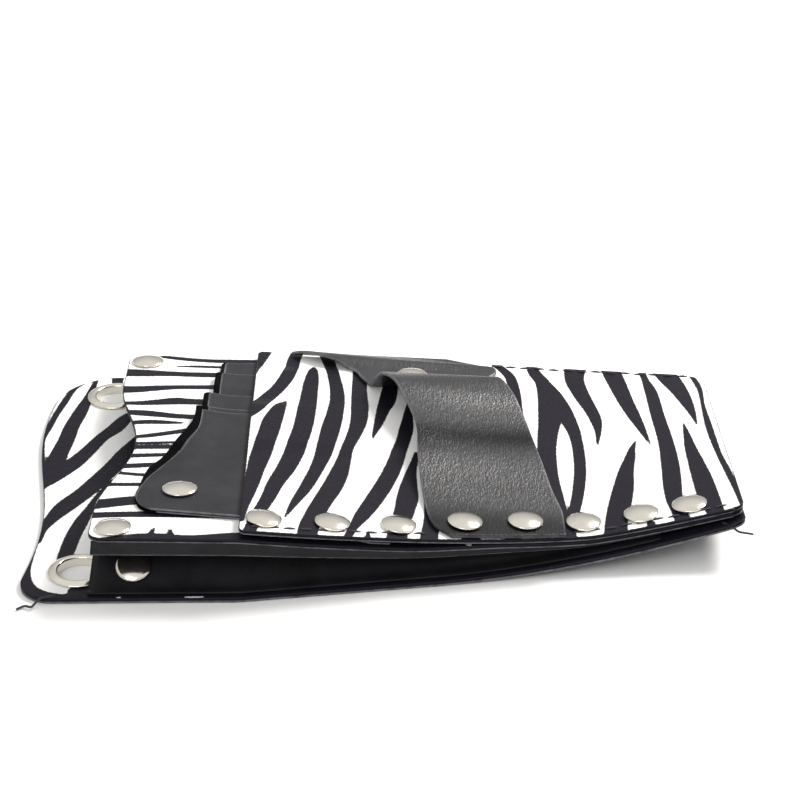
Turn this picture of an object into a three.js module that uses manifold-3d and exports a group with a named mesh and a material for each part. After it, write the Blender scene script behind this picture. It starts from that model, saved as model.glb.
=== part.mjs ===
// A hairdresser's leather holster for shears, lying on its back panel.
// Millimetres. +X runs from the belt flap to the tip, +Z is up, and the origin is under
// the middle of the outline, on the surface that the back panel lies on.
import * as THREE from 'three';
import { mergeVertices } from 'three/addons/utils/BufferGeometryUtils.js';
import Module from 'manifold-3d';

const wasm = await Module();
wasm.setup();

// ---- driving dimensions ------------------------------------------------------------
const TIP_X = 125;
const FLAP_X = -121.2;
const FLAP_WAVE = 3.8;
const MID_MOUTH_X = -95.8;
const FRONT_MOUTH_X = -46;
const MOUTH_HALF_WIDTH = 81;
const TIP_HALF_WIDTH = 57.5;
const FRONT_INSET = 3;

const GAP = 0.3;
const LEATHER = 0.9;
const LINING = 0.4;
const BACK_LINING = 0.8;
const PLY = 0.6;
const PLY_PITCH = PLY + GAP;
const STRAP = 1.4;
const BACK_STACK = BACK_LINING + GAP + LEATHER;
const PANEL_STACK = LINING + GAP + LEATHER;

const CAP_RADIUS = 6;
const POST_RADIUS = 1.4;
const WASHER_RADIUS = 4.2;
const WASHER_THICKNESS = 0.8;
const FLUSH_WASHER_THICKNESS = 0.6;
const EYELET_RADIUS = 10.6;
const EYELET_HOLE_RADIUS = 7.3;
const EYELET_WALL = 0.7;
const EYELET_X = -101;
const EYELET_Y = 64;

// ---- small formulas ----------------------------------------------------------------
const mix = (a, b, t) => a + (b - a) * t;
const ramp = (a, b, x) => Math.min(1, Math.max(0, (x - a) / (b - a)));
const smooth = (a, b, x) => THREE.MathUtils.smoothstep(x, a, b);
function cornerSetback(distance, radius) {
  const short = radius - Math.min(radius, Math.max(0, distance));
  return radius - Math.sqrt(radius ** 2 - short ** 2);
}

// ---- the surfaces that the leather follows -----------------------------------------
const halfWidth = (x) =>
  mix(MOUTH_HALF_WIDTH, TIP_HALF_WIDTH, ramp(FRONT_MOUTH_X, TIP_X, x));
const frontHalfWidth = (x) => halfWidth(x) - FRONT_INSET;
const across = (x, y) => (y / halfWidth(x) + 1) / 2;

// Underside of the back panel: flat, then curling up towards the tip.
const CURL_START_X = 20;
const CURL_NEAR = 14.3;
const CURL_FAR = 8;
const backUnder = (x, y) =>
  mix(CURL_NEAR, CURL_FAR, across(x, y)) * ramp(CURL_START_X, TIP_X, x) ** 1.8;
const backTop = (x, y) => backUnder(x, y) + BACK_STACK;

// The slot plies lift the front panel from the mouth to where they end.
const PLY_END_X = 4;
const PLY_FADE_X = 46;
const plyPresence = (x) => 1 - smooth(PLY_END_X + 2, PLY_FADE_X, x);

// Height of the front panel's near edge, lowest at the waist; its far edge is level.
const WAIST_X = 71;
const WAIST_HEIGHT = 13.2;
const MOUTH_RISE = 13.3;
const TIP_RISE = 7.6;
const FAR_HEIGHT = 14.5;
const frontNearHeight = (x) =>
  WAIST_HEIGHT +
  MOUTH_RISE * ramp(WAIST_X, FRONT_MOUTH_X, x) ** 1.6 +
  TIP_RISE * ramp(WAIST_X, TIP_X, x) ** 1.3;

const NEAR_PLIES = 2;
const FAR_PLIES = 1;
const MOUTH_NEAR_HEIGHT = 22.8;
const MOUTH_FAR_HEIGHT = 11.7;
function midTop(x, y) {
  const beyond = Math.max(0, FRONT_MOUTH_X - x);
  const under = PANEL_STACK + GAP;
  const nearPlies = NEAR_PLIES * PLY_PITCH * plyPresence(x);
  const farPlies = FAR_PLIES * PLY_PITCH * plyPresence(x);
  const near = beyond > 0 ? MOUTH_NEAR_HEIGHT + 0.02 * beyond : frontNearHeight(x) - under - nearPlies;
  const far = beyond > 0 ? MOUTH_FAR_HEIGHT + 0.03 * beyond : FAR_HEIGHT - under - farPlies;
  return mix(near, far, across(x, y));
}
const midUnder = (x, y) => midTop(x, y) - PANEL_STACK;

// How many plies lie under a point of the front panel, counted across the holster.
const pliesUnderFront = (y) =>
  2 + ramp(-15, -7.7, y) - ramp(23, 30, y) - ramp(57, 63, y);
const frontTop = (x, y) =>
  midTop(x, y) + GAP + PLY_PITCH * pliesUnderFront(y) * plyPresence(x) + PANEL_STACK;

// ---- mouth and end outlines --------------------------------------------------------
const FLAP_CORNERS = { near: 14, far: 20 };
const MID_CORNERS = { near: 5, far: 5 };
const FRONT_CORNERS = { near: 2.5, far: 2.5 };
const TIP_CORNERS = { near: 4, far: 7 };

function setback(y, half, corners) {
  return cornerSetback(half + y, corners.near) + cornerSetback(half - y, corners.far);
}
const flapEnd = (y) =>
  FLAP_X - FLAP_WAVE * Math.sin((Math.PI * y) / 75) + setback(y, MOUTH_HALF_WIDTH, FLAP_CORNERS);

const SCOOP_DEPTH = 9.2;
const SCOOP_HALF_WIDTH = 54;
const SCOOP_Y = -5;
function midMouth(y) {
  const angle = (Math.PI / 2) * Math.min(1, Math.abs(y - SCOOP_Y) / SCOOP_HALF_WIDTH);
  const corner = setback(y, MOUTH_HALF_WIDTH - FRONT_INSET, MID_CORNERS);
  return MID_MOUTH_X + SCOOP_DEPTH * Math.cos(angle) ** 2 + corner;
}
const frontMouth = (y) =>
  FRONT_MOUTH_X + setback(y, MOUTH_HALF_WIDTH - FRONT_INSET, FRONT_CORNERS);
const backTip = (y) => TIP_X - setback(y, TIP_HALF_WIDTH, TIP_CORNERS);
const frontTip = (y) => TIP_X - 0.6 - setback(y, TIP_HALF_WIDTH - FRONT_INSET, TIP_CORNERS);

// ---- solids ------------------------------------------------------------------------
function solidGeometry(positions, triangles) {
  const geometry = new THREE.BufferGeometry();
  geometry.setAttribute('position', new THREE.Float32BufferAttribute(positions, 3));
  geometry.setIndex(triangles);
  return geometry;
}

// A thick sheet: place(i, j) gives a point of its upper face on a grid, with i running
// along +X and j along +Y, and the lower face is straight below it.
function thickSheet(columns, rows, place, thickness) {
  const positions = [];
  const triangles = [];
  for (const drop of [0, thickness]) {
    for (let i = 0; i <= columns; i++) {
      for (let j = 0; j <= rows; j++) {
        const [x, y, z] = place(i, j);
        positions.push(x, y, z - drop);
      }
    }
  }
  const lower = (columns + 1) * (rows + 1);
  const at = (i, j) => i * (rows + 1) + j;
  const quad = (a, b, c, d) => triangles.push(a, b, c, a, c, d);
  for (let i = 0; i < columns; i++) {
    for (let j = 0; j < rows; j++) {
      const corners = [at(i, j), at(i + 1, j), at(i + 1, j + 1), at(i, j + 1)];
      quad(...corners);
      quad(...corners.map((corner) => corner + lower).reverse());
    }
    quad(at(i, 0) + lower, at(i + 1, 0) + lower, at(i + 1, 0), at(i, 0));
    quad(at(i + 1, rows) + lower, at(i, rows) + lower, at(i, rows), at(i + 1, rows));
  }
  for (let j = 0; j < rows; j++) {
    quad(at(0, j + 1) + lower, at(0, j) + lower, at(0, j), at(0, j + 1));
    quad(at(columns, j) + lower, at(columns, j + 1) + lower, at(columns, j + 1), at(columns, j));
  }
  return solidGeometry(positions, triangles);
}

// A sheet cut to an outline and draped over a height. The lines run from mouth to tip at
// the given values of y, and crowd together where the sheet gets too narrow for them.
const LINE_SPACING = 0.6;
function drapedSheet({ start, end, low, high, lines, columns, top, thickness }) {
  const last = lines.length + 1;
  const lineY = (j, x) => {
    if (j === 0) return low(x);
    if (j === last) return high(x);
    const least = low(x) + LINE_SPACING * j;
    const most = high(x) - LINE_SPACING * (last - j);
    return Math.min(most, Math.max(least, lines[j - 1]));
  };
  const place = (i, j) => {
    const first = start(lineY(j, start(0)));
    const x = mix(first, end(lineY(j, end(0))), i / columns);
    const y = lineY(j, x);
    return [x, y, top(x, y)];
  };
  return thickSheet(columns, last, place, thickness);
}

// Lines that round off a corner of this radius, measured in from the edge.
const LARGE_CORNER = 10;
const cornerLines = (radius) =>
  radius < LARGE_CORNER ? [radius] : [0.07 * radius, 0.3 * radius, radius];
function linesBetween(half, corners, inner) {
  const near = cornerLines(corners.near).map((inset) => inset - half);
  const far = cornerLines(corners.far).map((inset) => half - inset).reverse();
  return [...near, ...inner, ...far];
}

// A turned piece about +Z from a profile of [radius, height] points.
function turned(profile, segments) {
  const points = profile.map(([radius, height]) => new THREE.Vector2(radius, height));
  return new THREE.LatheGeometry(points, segments).rotateX(Math.PI / 2);
}

function toManifold(geometry) {
  const bare = geometry.clone();
  bare.deleteAttribute('normal');
  bare.deleteAttribute('uv');
  const merged = mergeVertices(bare, 1e-4);
  const vertProperties = new Float32Array(merged.attributes.position.array);
  const triVerts = new Uint32Array(merged.index.array);
  return new wasm.Manifold(new wasm.Mesh({ numProp: 3, vertProperties, triVerts }));
}

function cut(geometry, cutters) {
  let solid = toManifold(geometry);
  for (const cutter of cutters) {
    solid = solid.subtract(toManifold(cutter));
  }
  const result = solid.getMesh();
  return solidGeometry(Array.from(result.vertProperties), Array.from(result.triVerts));
}

// ---- where the fasteners go --------------------------------------------------------
// The frame on a surface: origin at the point, +Z along the surface's normal.
function surfaceFrame(x, y, height) {
  const step = 3;
  const slopeX = (height(x + step, y) - height(x - step, y)) / (2 * step);
  const slopeY = (height(x, y + step) - height(x, y - step)) / (2 * step);
  const normal = new THREE.Vector3(-slopeX, -slopeY, 1).normalize();
  const turn = new THREE.Quaternion().setFromUnitVectors(new THREE.Vector3(0, 0, 1), normal);
  return new THREE.Matrix4().compose(
    new THREE.Vector3(x, y, height(x, y)),
    turn,
    new THREE.Vector3(1, 1, 1),
  );
}

// How far a surface rises above and falls below its own tangent plane on a circle.
function bulge(x, y, height, radius) {
  const toPlane = surfaceFrame(x, y, height).invert();
  const heights = [];
  for (let step = 0; step < 12; step++) {
    const angle = (step * Math.PI) / 6;
    const px = x + radius * Math.cos(angle);
    const py = y + radius * Math.sin(angle);
    heights.push(new THREE.Vector3(px, py, height(px, py)).applyMatrix4(toPlane).z);
  }
  return { rise: Math.max(0, ...heights), fall: Math.max(0, -Math.min(...heights)) };
}

const ROW_X = [-38, -15.4, 6.8, 29.2, 49.8, 69.9, 89.8, 106.5];
const ROW_INSET = 8.4;
const strapRest = (x, y) => frontTop(x, y) + GAP + STRAP;
const plyTop = (level) => (x, y) => midTop(x, y) + PLY_PITCH * (level(y) + 1);

// Levels of the slot plies above the mid panel, lowest first.
const riseOverSecond = (y) => ramp(-15, -7.7, y);
const riseOverThird = (y) => ramp(19, 26.3, y);
const riseOverFourth = (y) => ramp(36.5, 43.5, y);
const slotNearEdge = (x) => Math.max(-59.2 - 0.15 * (x + 77.5), 1.5 - frontHalfWidth(x));
const slotFarEdge = (y) => (x) => Math.min(y, frontHalfWidth(x) - 2);

// Mouth of the two nearest plies: a rounded lobe on the near side, then a sweep back.
function sweptMouth(lobeX, backX, shift) {
  const curve = new THREE.CatmullRomCurve3(
    [
      [lobeX + 8, -62], [lobeX + 2.5, -58.5], [lobeX, -52], [lobeX + 0.4, -45],
      [lobeX + 2.5, -36 + shift], [lobeX + 7, -26 + shift], [backX - 5, -14 + shift],
      [backX - 1.5, -3 + shift], [backX, 6 + shift], [backX, 24 + shift],
    ].map(([x, y]) => new THREE.Vector3(x, y, 0)),
  );
  const points = curve.getPoints(80);
  return (y) => {
    const next = points.findIndex((point) => point.y >= y);
    if (next < 0) return points[points.length - 1].x;
    if (next === 0) return points[0].x;
    const before = points[next - 1];
    const after = points[next];
    return mix(before.x, after.x, (y - before.y) / (after.y - before.y));
  };
}

const PLIES = {
  slot_ply_4: {
    level: () => 0,
    low: () => 44,
    high: slotFarEdge(70),
    mouth: () => -59.8,
    lines: [57, 63],
  },
  slot_ply_3: {
    level: riseOverFourth,
    low: () => 27,
    high: () => 56.5,
    mouth: () => -61.2,
    lines: [36.5, 43.5],
  },
  slot_ply_2: {
    level: riseOverThird,
    low: () => -7,
    high: () => 36,
    mouth: () => -64.4,
    lines: [5, 19, 26.3],
  },
  slot_backing_ply: {
    level: (y) => riseOverSecond(y) + riseOverThird(y),
    low: slotNearEdge,
    high: () => 22.5,
    mouth: sweptMouth(-82.6, -66.5, 9),
    lines: [-57, -52, -45, -36, -26, -15, -7.7, 2, 12, 19],
  },
  slot_ply_1: {
    level: (y) => 1 + riseOverSecond(y) + riseOverThird(y),
    low: slotNearEdge,
    high: () => 18,
    mouth: sweptMouth(-82.2, -64, 0),
    lines: [-57, -52, -45, -36, -26, -15, -7.7, 2, 12],
  },
};
const topOfFirstPly = plyTop(PLIES.slot_ply_1.level);
const GUSSET_START_X = -94.6;
const GUSSET_END_X = 96;
const GUSSET_STATIONS = 13;
const GUSSET_LEAN = -2.2;
const GUSSET_FLANGE = 2;
const FOLD_WIDTH = 1.4;
const GUSSET_DROP_SHARE = 0.27;
const FOLD_HEIGHT_SHARE = 0.65;
const ROOF_GAP = 0.75;
const FOLD_AT_MOUTH = 20;
const FOLD_AT_END = 2.4;

// A gusset hangs from the front assembly's edge, folds inwards and comes back to the edge.
function gussetShape(x, side) {
  const edge = frontHalfWidth(x) - 1;
  const fold = mix(FOLD_AT_MOUTH, FOLD_AT_END, ramp(GUSSET_START_X, GUSSET_END_X, x));
  const floorAt = (inward) => backTop(x, side * (edge - inward)) + GAP;
  const rise = midUnder(x, side * edge) - ROOF_GAP - floorAt(0);
  const drop = GUSSET_DROP_SHARE * rise;
  const foldHeight = floorAt(fold) + PLY / 2 + FOLD_HEIGHT_SHARE * (rise - drop);
  const flange = Math.min(GUSSET_FLANGE, 0.4 * fold);
  return { edge, fold, foldHeight, drop, flange, floorAt };
}

// Outer face of the gusset's lower half, where its rivet sits.
function gussetSlope(x, y) {
  const { edge, fold, foldHeight, flange, floorAt } = gussetShape(x, Math.sign(y));
  const share = (edge - Math.abs(y) - flange) / (fold - FOLD_WIDTH - flange);
  return mix(floorAt(flange) + PLY, foldHeight, share);
}

const RIVETS = {};
ROW_X.forEach((x, index) => {
  const throughStrap = index === 3 || index === 4;
  const y = ROW_INSET - frontHalfWidth(x);
  const surface = throughStrap ? strapRest : frontTop;
  const grip = surface(x, y) - midUnder(x, y);
  RIVETS[`seam_rivet_${index + 1}`] = { x, y, surface, grip, washer: WASHER_THICKNESS };
});
RIVETS.slot_rivet = {
  x: -67.5,
  y: -45,
  surface: topOfFirstPly,
  grip: topOfFirstPly(-67.5, -45) - midUnder(-67.5, -45),
  washer: WASHER_THICKNESS,
};
RIVETS.near_corner_rivet = {
  x: -87.7, y: -71, surface: midTop, grip: PANEL_STACK, washer: WASHER_THICKNESS,
};
RIVETS.far_corner_rivet = {
  x: -88.3, y: 70.5, surface: midTop, grip: PANEL_STACK, washer: WASHER_THICKNESS,
};
RIVETS.strap_rivet = {
  x: 13.4, y: 50, surface: strapRest, grip: STRAP + GAP + PANEL_STACK, washer: WASHER_THICKNESS,
};
for (const [side, y] of [['near', -68.2], ['far', 68.6]]) {
  RIVETS[`${side}_gusset_rivet`] = {
    x: -82,
    y,
    surface: gussetSlope,
    grip: PLY,
    washer: FLUSH_WASHER_THICKNESS,
  };
}

const rivetFrame = ({ x, y, surface }) => surfaceFrame(x, y, surface);

// The cap is lifted, and the washer lowered, by as much as the leather curves there.
function rivetFit({ x, y, surface, grip, washer }) {
  return {
    base: GAP + bulge(x, y, surface, CAP_RADIUS).rise,
    under: -grip - GAP - bulge(x, y, surface, WASHER_RADIUS).fall,
    washer,
  };
}

// The hole that a rivet's post needs, as a long cylinder through everything under it.
const DRILL_LENGTH = 24;
const NOTCH_HEIGHT = 4;
function drill(rivet, radius) {
  const bit = new THREE.CylinderGeometry(radius, radius, DRILL_LENGTH, 8);
  return bit.rotateX(Math.PI / 2).applyMatrix4(rivetFrame(rivet));
}
function uprightDrill(x, y, radius, segments, height = DRILL_LENGTH / 2) {
  const bit = new THREE.CylinderGeometry(radius, radius, 2 * height, segments);
  return bit.rotateX(Math.PI / 2).translate(x, y, 0);
}
const postHoles = (names) => names.map((name) => drill(RIVETS[name], POST_RADIUS + GAP));

const ROW_NAMES = ROW_X.map((x, index) => `seam_rivet_${index + 1}`);
const CORNER_NAMES = ['near_corner_rivet', 'far_corner_rivet'];

// ---- the leather panels ------------------------------------------------------------
const BACK_LINES = linesBetween(MOUTH_HALF_WIDTH, FLAP_CORNERS, [-50, -30, -8, 15, 38, 52]);
const MID_LINES = linesBetween(MOUTH_HALF_WIDTH - FRONT_INSET, MID_CORNERS, [
  -50, -34, -19, -5, 9, 24, 40,
]);
const FRONT_LINES = linesBetween(MOUTH_HALF_WIDTH - FRONT_INSET, FRONT_CORNERS, [
  -45, -15, -7.7, 7, 23, 30, 43, 57, 63,
]);

function backSheet(top, thickness, eyeletHole) {
  const sheet = drapedSheet({
    start: flapEnd,
    end: backTip,
    low: (x) => -halfWidth(x),
    high: halfWidth,
    lines: BACK_LINES,
    columns: 12,
    top,
    thickness,
  });
  const holes = [-EYELET_Y, EYELET_Y].map((y) => uprightDrill(EYELET_X, y, eyeletHole, 20));
  return cut(sheet, holes);
}

function midSheet(top, thickness) {
  const sheet = drapedSheet({
    start: midMouth,
    end: frontTip,
    low: (x) => -frontHalfWidth(x),
    high: frontHalfWidth,
    lines: MID_LINES,
    columns: 12,
    top,
    thickness,
  });
  return cut(sheet, postHoles([...ROW_NAMES, ...CORNER_NAMES, 'slot_rivet']));
}

function frontSheet(top, thickness) {
  const sheet = drapedSheet({
    start: frontMouth,
    end: frontTip,
    low: (x) => -frontHalfWidth(x),
    high: frontHalfWidth,
    lines: FRONT_LINES,
    columns: 12,
    top,
    thickness,
  });
  return cut(sheet, postHoles([...ROW_NAMES, 'strap_rivet']));
}

function plySheet({ level, low, high, mouth, lines }, holes) {
  const sheet = drapedSheet({
    start: mouth,
    end: () => PLY_END_X,
    low,
    high,
    lines,
    columns: 5,
    top: plyTop(level),
    thickness: PLY,
  });
  return holes.length ? cut(sheet, postHoles(holes)) : sheet;
}

// ---- the folded gussets ------------------------------------------------------------
// Cross-section of a gusset as [inward, height] from the front assembly's edge: down from
// that edge, in to the fold at half height, and back out to a flange on the back panel.
function gussetSection(x, side) {
  const { edge, fold, foldHeight, drop, flange, floorAt } = gussetShape(x, side);
  const roof = midUnder(x, side * edge) - ROOF_GAP;
  const roofInside = midUnder(x, side * (edge - 0.9)) - ROOF_GAP;
  const outer = 1 - FRONT_INSET;
  return [
    [0, roof],
    [0, roof - drop],
    [fold - FOLD_WIDTH, foldHeight],
    [flange, floorAt(flange) + PLY],
    [outer, floorAt(outer) + PLY],
    [outer, floorAt(outer)],
    [flange + 0.4, floorAt(flange + 0.4)],
    [fold, foldHeight - 0.35],
    [fold, foldHeight + 0.45],
    [0.9, roofInside - drop + 0.3],
    [0.9, roofInside],
  ].map(([inward, z]) => [side * (edge - inward), z]);
}

function gusset(side, rivetName) {
  const positions = [];
  const triangles = [];
  const count = gussetSection(0, side).length;
  for (let i = 0; i < GUSSET_STATIONS; i++) {
    const x = mix(GUSSET_START_X, GUSSET_END_X, i / (GUSSET_STATIONS - 1));
    const section = gussetSection(x, side);
    const roof = section[0][1];
    for (const [y, z] of section) {
      const lean = i === 0 ? GUSSET_LEAN * ramp(roof, BACK_STACK, z) : 0;
      positions.push(x + lean, y, z);
    }
  }
  const at = (i, j) => i * count + (j % count);
  const face = (a, b, c) => triangles.push(...(side < 0 ? [a, b, c] : [a, c, b]));
  for (let i = 0; i < GUSSET_STATIONS - 1; i++) {
    for (let j = 0; j < count; j++) {
      face(at(i, j), at(i, j + 1), at(i + 1, j + 1));
      face(at(i, j), at(i + 1, j + 1), at(i + 1, j));
    }
  }
  const ends = THREE.ShapeUtils.triangulateShape(
    gussetSection(0, side).map(([y, z]) => new THREE.Vector2(y, z)),
    [],
  );
  const last = GUSSET_STATIONS - 1;
  for (const [a, b, c] of ends) {
    triangles.push(at(0, a), at(0, c), at(0, b), at(last, a), at(last, b), at(last, c));
  }
  const eyeletNotch = uprightDrill(
    EYELET_X, side * EYELET_Y, EYELET_RADIUS + GAP, 20, NOTCH_HEIGHT,
  );
  return cut(solidGeometry(positions, triangles), [...postHoles([rivetName]), eyeletNotch]);
}

// ---- the strap ---------------------------------------------------------------------
// Its two edges from the near seam over the big loop, down to its rivet and over the
// small loop to the far seam, as [x, y, height above the panel it rests on].
const STRAP_LEFT = [
  [24.5, -68, 0], [18.5, -61, 0], [16, -48, 0], [14.8, -35, 2], [14, -20, 5.5],
  [14, -6, 8.5], [11, 8, 10.5], [6.5, 22, 11.5], [2, 32, 10.5], [-1, 38, 5],
  [-3, 43.5, 0], [-6, 50, 0], [-9, 56.5, 0], [-18, 63, 3], [-27, 69, 2.5], [-33, 73.8, 0],
];
const STRAP_RIGHT = [
  [63.2, -63.8, 0], [63.2, -56, 0], [63, -48, 0], [60.5, -36, 0.3], [58, -20, 1.5],
  [55.5, -4, 3.5], [53, 10, 6.5], [50, 21, 9], [45.5, 31, 10.5], [42, 38, 5],
  [40.5, 43.5, 0], [40.5, 50, 0], [40.5, 56.5, 0], [40.5, 60.5, 2], [40.5, 63.5, 1.5],
  [40.5, 66.3, 0],
];
const STRAP_ROWS = 28;
const STRAP_COLUMNS = 4;
function strapGeometry() {
  const edge = (points) => new THREE.CatmullRomCurve3(
    points.map((point) => new THREE.Vector3(...point)),
    false,
    'centripetal',
  );
  const left = edge(STRAP_LEFT);
  const right = edge(STRAP_RIGHT);
  const place = (i, j) => {
    const a = left.getPoint(j / STRAP_ROWS);
    const b = right.getPoint(j / STRAP_ROWS);
    const point = a.lerp(b, i / STRAP_COLUMNS);
    return [point.x, point.y, strapRest(point.x, point.y) + Math.max(0, point.z)];
  };
  const sheet = thickSheet(STRAP_COLUMNS, STRAP_ROWS, place, STRAP);
  return cut(sheet, postHoles(['seam_rivet_4', 'seam_rivet_5', 'strap_rivet']));
}

// ---- fasteners ---------------------------------------------------------------------
// A domed cap with its post, standing a hair above the leather.
const CAP_HEIGHT = 1.9;
const capGeometry = ({ base, under, washer }) => turned([
  [0, under - washer],
  [POST_RADIUS, under - washer],
  [POST_RADIUS, base],
  [CAP_RADIUS - 0.2, base],
  [CAP_RADIUS, base + 0.3],
  [CAP_RADIUS * 0.74, base + CAP_HEIGHT * 0.66],
  [CAP_RADIUS * 0.38, base + CAP_HEIGHT * 0.94],
  [0, base + CAP_HEIGHT],
], 12);

// The ring that the post is spread into, on the inner side.
const washerGeometry = ({ under, washer }) => turned([
  [POST_RADIUS + GAP, under - washer],
  [WASHER_RADIUS, under - washer],
  [WASHER_RADIUS, under],
  [POST_RADIUS + GAP, under],
  [POST_RADIUS + GAP, under - washer],
], 9);

const BARREL_RADIUS = EYELET_HOLE_RADIUS + EYELET_WALL;
const eyeletGeometry = () => turned([
  [EYELET_HOLE_RADIUS, 0],
  [BARREL_RADIUS, 0],
  [BARREL_RADIUS, BACK_STACK + GAP],
  [EYELET_RADIUS, BACK_STACK + GAP],
  [EYELET_RADIUS, BACK_STACK + GAP + 0.4],
  [(EYELET_RADIUS + EYELET_HOLE_RADIUS) / 2, BACK_STACK + GAP + 1.3],
  [EYELET_HOLE_RADIUS, BACK_STACK + GAP + 0.9],
  [EYELET_HOLE_RADIUS, 0],
], 20);
const eyeletRingGeometry = () => turned([
  [BARREL_RADIUS + GAP, 0],
  [EYELET_RADIUS - 0.6, 0],
  [EYELET_RADIUS - 0.6, FLUSH_WASHER_THICKNESS],
  [BARREL_RADIUS + GAP, FLUSH_WASHER_THICKNESS],
  [BARREL_RADIUS + GAP, 0],
], 16);

// ---- materials ---------------------------------------------------------------------
const paint = (color, roughness, metalness) => () =>
  new THREE.MeshStandardMaterial({ color, roughness, metalness });
const printedLeather = paint(0xf4f4f0, 0.45, 0);
const liningLeather = paint(0x24242a, 0.6, 0);
const smoothLeather = paint(0x34343b, 0.5, 0);
const grainLeather = paint(0x2c2c30, 0.42, 0);
const nickel = paint(0xd9d4c8, 0.22, 1);

// ---- assembly ----------------------------------------------------------------------
const holster = new THREE.Group();
function add(name, geometry, material, parent = holster) {
  const mesh = new THREE.Mesh(geometry, material());
  mesh.name = name;
  parent.add(mesh);
  return mesh;
}

add('back_panel', backSheet(backTop, LEATHER, BARREL_RADIUS + GAP), printedLeather);
add(
  'back_lining',
  backSheet(
    (x, y) => backUnder(x, y) + BACK_LINING,
    BACK_LINING,
    EYELET_RADIUS - 0.6 + GAP,
  ),
  liningLeather,
);

add('mid_panel', midSheet(midTop, LEATHER), printedLeather);
add('mid_lining', midSheet((x, y) => midUnder(x, y) + LINING, LINING), liningLeather);
add('front_panel', frontSheet(frontTop, LEATHER), printedLeather);
add('front_lining', frontSheet((x, y) => frontTop(x, y) - LEATHER - GAP, LINING), liningLeather);

const PLY_HOLES = {
  slot_ply_1: ['slot_rivet', 'seam_rivet_2'],
  slot_backing_ply: ['slot_rivet', 'seam_rivet_2'],
};
for (const [name, ply] of Object.entries(PLIES)) {
  add(name, plySheet(ply, PLY_HOLES[name] ?? []), smoothLeather);
}

add('near_gusset', gusset(-1, 'near_gusset_rivet'), liningLeather);
add('far_gusset', gusset(1, 'far_gusset_rivet'), liningLeather);
add('strap', strapGeometry(), grainLeather);

for (const [name, rivet] of Object.entries(RIVETS)) {
  const setting = new THREE.Group();
  setting.applyMatrix4(rivetFrame(rivet));
  const fit = rivetFit(rivet);
  add(`${name}_cap`, capGeometry(fit), nickel, setting);
  add(`${name}_washer`, washerGeometry(fit), nickel, setting);
  holster.add(setting);
}

for (const [side, y] of [['near', -EYELET_Y], ['far', EYELET_Y]]) {
  add(`${side}_eyelet`, eyeletGeometry(), nickel).position.set(EYELET_X, y, 0);
  add(`${side}_eyelet_ring`, eyeletRingGeometry(), nickel).position.set(EYELET_X, y, 0);
}

export default holster;
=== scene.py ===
"""A hairdresser's zebra-print leather holster, lying on its back on a white table."""
import math

import bpy
import numpy as np
from mathutils import Matrix, Vector


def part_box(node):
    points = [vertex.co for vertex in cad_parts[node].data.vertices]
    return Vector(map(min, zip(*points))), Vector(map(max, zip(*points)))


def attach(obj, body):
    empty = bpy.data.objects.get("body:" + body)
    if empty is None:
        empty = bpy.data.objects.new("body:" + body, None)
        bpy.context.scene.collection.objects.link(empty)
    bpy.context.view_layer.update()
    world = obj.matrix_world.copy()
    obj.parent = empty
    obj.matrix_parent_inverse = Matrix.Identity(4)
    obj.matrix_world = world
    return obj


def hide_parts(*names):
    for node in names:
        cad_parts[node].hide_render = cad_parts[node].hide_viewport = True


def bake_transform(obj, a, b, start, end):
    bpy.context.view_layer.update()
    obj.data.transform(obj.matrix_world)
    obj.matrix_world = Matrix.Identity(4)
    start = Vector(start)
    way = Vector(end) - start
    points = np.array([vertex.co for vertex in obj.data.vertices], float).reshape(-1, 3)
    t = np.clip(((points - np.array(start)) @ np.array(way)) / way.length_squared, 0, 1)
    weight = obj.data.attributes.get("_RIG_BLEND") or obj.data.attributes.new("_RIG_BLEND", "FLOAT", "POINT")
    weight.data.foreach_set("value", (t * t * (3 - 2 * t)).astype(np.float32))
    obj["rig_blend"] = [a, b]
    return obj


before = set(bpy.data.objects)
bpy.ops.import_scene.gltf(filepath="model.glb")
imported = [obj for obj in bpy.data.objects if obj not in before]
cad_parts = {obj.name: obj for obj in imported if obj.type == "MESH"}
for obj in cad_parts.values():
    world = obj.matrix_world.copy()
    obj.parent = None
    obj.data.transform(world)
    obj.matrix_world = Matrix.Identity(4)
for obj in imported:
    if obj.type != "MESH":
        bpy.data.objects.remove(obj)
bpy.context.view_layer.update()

MM = 0.001

# ---- camera --------------------------------------------------------------------------
CAMERA_PLACE_MM = (-1.96, -727.34, 412.0)
CAMERA_PITCH = 62.5
CAMERA_YAW = -0.8
LENS_MM = 103.5


def make_camera():
    camera = bpy.data.objects.new("camera", bpy.data.cameras.new("camera"))
    bpy.context.scene.collection.objects.link(camera)
    camera.location = [value * MM for value in CAMERA_PLACE_MM]
    camera.rotation_euler = (math.radians(CAMERA_PITCH), 0, math.radians(CAMERA_YAW))
    camera.data.lens = LENS_MM
    camera.data.sensor_width = 36
    camera.data.clip_start = 0.01
    bpy.context.scene.camera = camera


make_camera()

# ---- driving dimensions, in millimetres, the same as the CAD part's --------------------
TIP_X = 125.0
FLAP_X = -121.2
FLAP_WAVE = 3.8
FLAP_WAVE_HALF_LENGTH = 75.0
MID_MOUTH_X = -95.8
SCOOP_DEPTH = 9.2
SCOOP_HALF_WIDTH = 54.0
SCOOP_Y = -5.0
FRONT_MOUTH_X = -46.0
MOUTH_HALF_WIDTH = 81.0
TIP_HALF_WIDTH = 57.5
FRONT_INSET = 3.0
GAP = 0.3
LEATHER = 0.9
LINING = 0.4
BACK_LINING = 0.8
PLY = 0.6
PLY_PITCH = PLY + GAP
STRAP = 1.4
BACK_STACK = BACK_LINING + GAP + LEATHER
PANEL_STACK = LINING + GAP + LEATHER
PLY_END_X = 4.0
PLY_FADE_X = 46.0
CURL_NEAR = 14.3
CURL_FAR = 8.0
CURL_START_X = 20.0
WAIST_X = 71.0
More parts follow.
